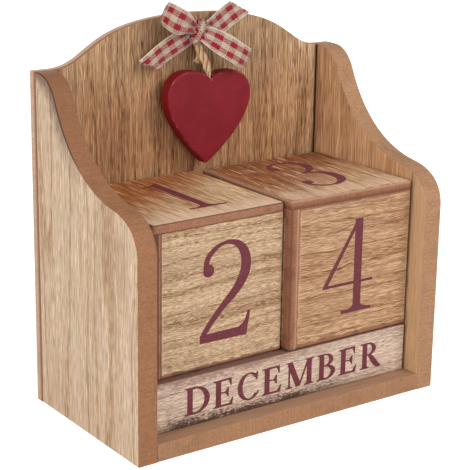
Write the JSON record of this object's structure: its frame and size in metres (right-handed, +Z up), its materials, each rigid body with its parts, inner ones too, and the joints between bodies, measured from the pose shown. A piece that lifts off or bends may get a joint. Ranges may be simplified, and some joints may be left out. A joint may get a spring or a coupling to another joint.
{
  "type": "perpetual desk calendar",
  "caption": "Open-fronted wooden cradle holding sliding month bars with number cubes on top, a heart hung on twine and a ribbon bow on the domed back.",
  "frame": {"origin": "middle of the footprint of the case, on the surface it stands on", "axes": "+X to the right as the calendar is read, +Y to the back, +Z up"},
  "size_m": [0.155, 0.084, 0.1717],
  "materials": {
    "case_board": "matt oiled veneer with sanded brown edges",
    "cube_board": "matt oiled veneer with sanded brown edges",
    "bar_wood": "whitewashed open-grained wood",
    "ink": "flat screen-printed ink",
    "heart_paint": "satin paint, rubbed at the edges",
    "ribbon": "woven gingham ribbon",
    "twine": "coarse two-ply jute",
    "nail_steel": "plain bright wire nail"
  },
  "bodies": {
    "case": {"base_board": "case_board", "left_side": "case_board", "right_side": "case_board", "back_board": "case_board", "back_brads": "nail_steel", "bow_tack": "nail_steel", "ribbon_bow": "ribbon"},
    "left_cube": {"left_cube_top": "cube_board", "left_cube_bottom": "cube_board", "left_cube_front": "cube_board", "left_cube_right": "cube_board", "left_cube_back": "cube_board", "left_cube_left": "cube_board"},
    "right_cube": {"right_cube_top": "cube_board", "right_cube_bottom": "cube_board", "right_cube_front": "cube_board", "right_cube_right": "cube_board", "right_cube_back": "cube_board", "right_cube_left": "cube_board"},
    "rear_bar": {"rear_month_bar": "bar_wood"},
    "middle_bar": {"middle_month_bar": "bar_wood"},
    "front_bar": {"front_month_bar": "bar_wood"},
    "twine": {"hanging_twine": "twine", "twine_knot": "twine"},
    "heart": {"heart": "heart_paint"}
  },
  "joints": [
    {"name": "left_cube_slide", "type": "slide", "parent": "case", "child": "left_cube", "axis": [0, -1, 0], "range_m": [-0.0008, 0.08]},
    {"name": "right_cube_slide", "type": "slide", "parent": "case", "child": "right_cube", "axis": [0, -1, 0], "range_m": [-0.004, 0.08]},
    {"name": "rear_bar_slide", "type": "slide", "parent": "case", "child": "rear_bar", "axis": [0, -1, 0], "range_m": [-0.0045, 0.0735]},
    {"name": "middle_bar_slide", "type": "slide", "parent": "rear_bar", "child": "middle_bar", "axis": [0, -1, 0], "range_m": [0, 0.052]},
    {"name": "front_bar_slide", "type": "slide", "parent": "middle_bar", "child": "front_bar", "axis": [0, -1, 0], "range_m": [0, 0.03]},
    {"name": "twine_swing", "type": "hinge", "parent": "case", "child": "twine", "pos_m": [0, 0.0327, 0.15549], "axis": [0, 1, 0], "range_deg": [-8, 8]},
    {"name": "heart_tilt", "type": "hinge", "parent": "twine", "child": "heart", "pos_m": [0.00341, 0.0304, 0.13539], "axis": [-1, 0, 0], "range_deg": [-2.5, 18]}
  ]
}
